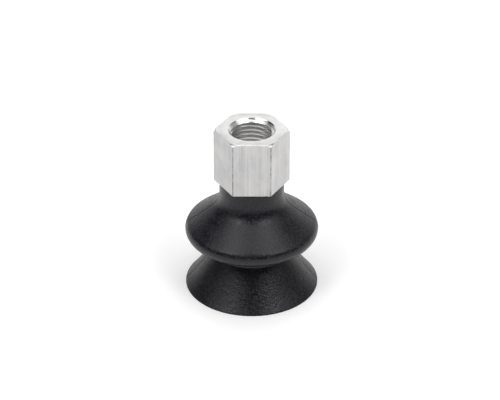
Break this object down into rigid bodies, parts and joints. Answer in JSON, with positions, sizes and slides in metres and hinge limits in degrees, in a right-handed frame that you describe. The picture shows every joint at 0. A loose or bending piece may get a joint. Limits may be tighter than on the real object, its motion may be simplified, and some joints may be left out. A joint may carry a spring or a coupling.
{
  "type": "vacuum suction cup",
  "caption": "Round rubber bellows suction cup with a folded wall and a flared sealing lip, on a hexagonal aluminium connector with a female pipe thread on top.",
  "frame": {"origin": "centre of the sealing lip's rim, in the plane that the lip seals on", "axes": "+Z along the cup's axis, from the lip towards the threaded port; -Y normal to one wrench flat, and +X towards a corner of the hexagon"},
  "size_m": [0.0392, 0.0392, 0.0513],
  "materials": {
    "turned_aluminium": "drawn bar with fine lengthwise streaks on the flats, turned top face and bright machined chamfers",
    "black_rubber": "matte moulded nitrile rubber with a fine eroded grain and a parting line down two sides"
  },
  "bodies": {
    "connector": {"hex_connector": "turned_aluminium", "cup_collar": "black_rubber"},
    "fold": {"bellows_fold": "black_rubber"},
    "waist": {"waist_web": "black_rubber"},
    "lip": {"sealing_lip": "black_rubber"}
  },
  "joints": [
    {"name": "bellows_stroke", "type": "slide", "parent": "connector", "child": "fold", "axis": [0, 0, 1], "range_m": [0, 0.008], "stiffness_N_per_m": 1000, "deforming": ["bellows_fold"]},
    {"name": "lip_tilt_x", "type": "hinge", "parent": "fold", "child": "waist", "pos_m": [0, 0, 0.0122], "axis": [1, 0, 0], "range_deg": [-8, 8], "stiffness_Nm_per_rad": 0.15, "deforming": ["waist_web"]},
    {"name": "lip_tilt_y", "type": "hinge", "parent": "waist", "child": "lip", "pos_m": [0, 0, 0.0122], "axis": [0, 1, 0], "range_deg": [-8, 8], "stiffness_Nm_per_rad": 0.15}
  ]
}
